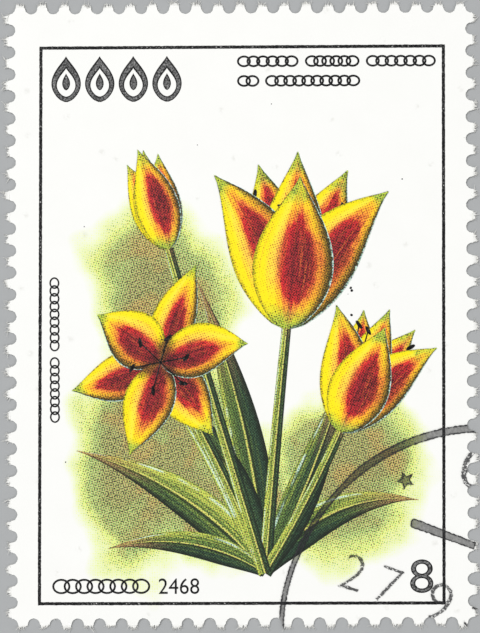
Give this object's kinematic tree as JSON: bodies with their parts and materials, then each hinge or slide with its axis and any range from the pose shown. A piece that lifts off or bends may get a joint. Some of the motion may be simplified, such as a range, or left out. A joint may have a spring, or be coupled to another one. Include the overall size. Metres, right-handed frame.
{
  "type": "postage stamp",
  "caption": "Used upright postage stamp: thin white paper with torn comb-perforated edges, a plain printed frame round a flower picture, and part of a round postmark.",
  "frame": {"origin": "under the middle of the sheet's outline, on the surface that its gummed back lies on", "axes": "+X to the right of the printed face, +Y to its top, +Z straight out of the printed face"},
  "size_m": [0.0338, 0.0448, 0.0001],
  "materials": {
    "stamp_paper": "smooth coated white printing paper, dull white at the back and fibrous at the torn teeth"
  },
  "bodies": {
    "root": {"stamp_paper": "stamp_paper"}
  },
  "joints": []
}
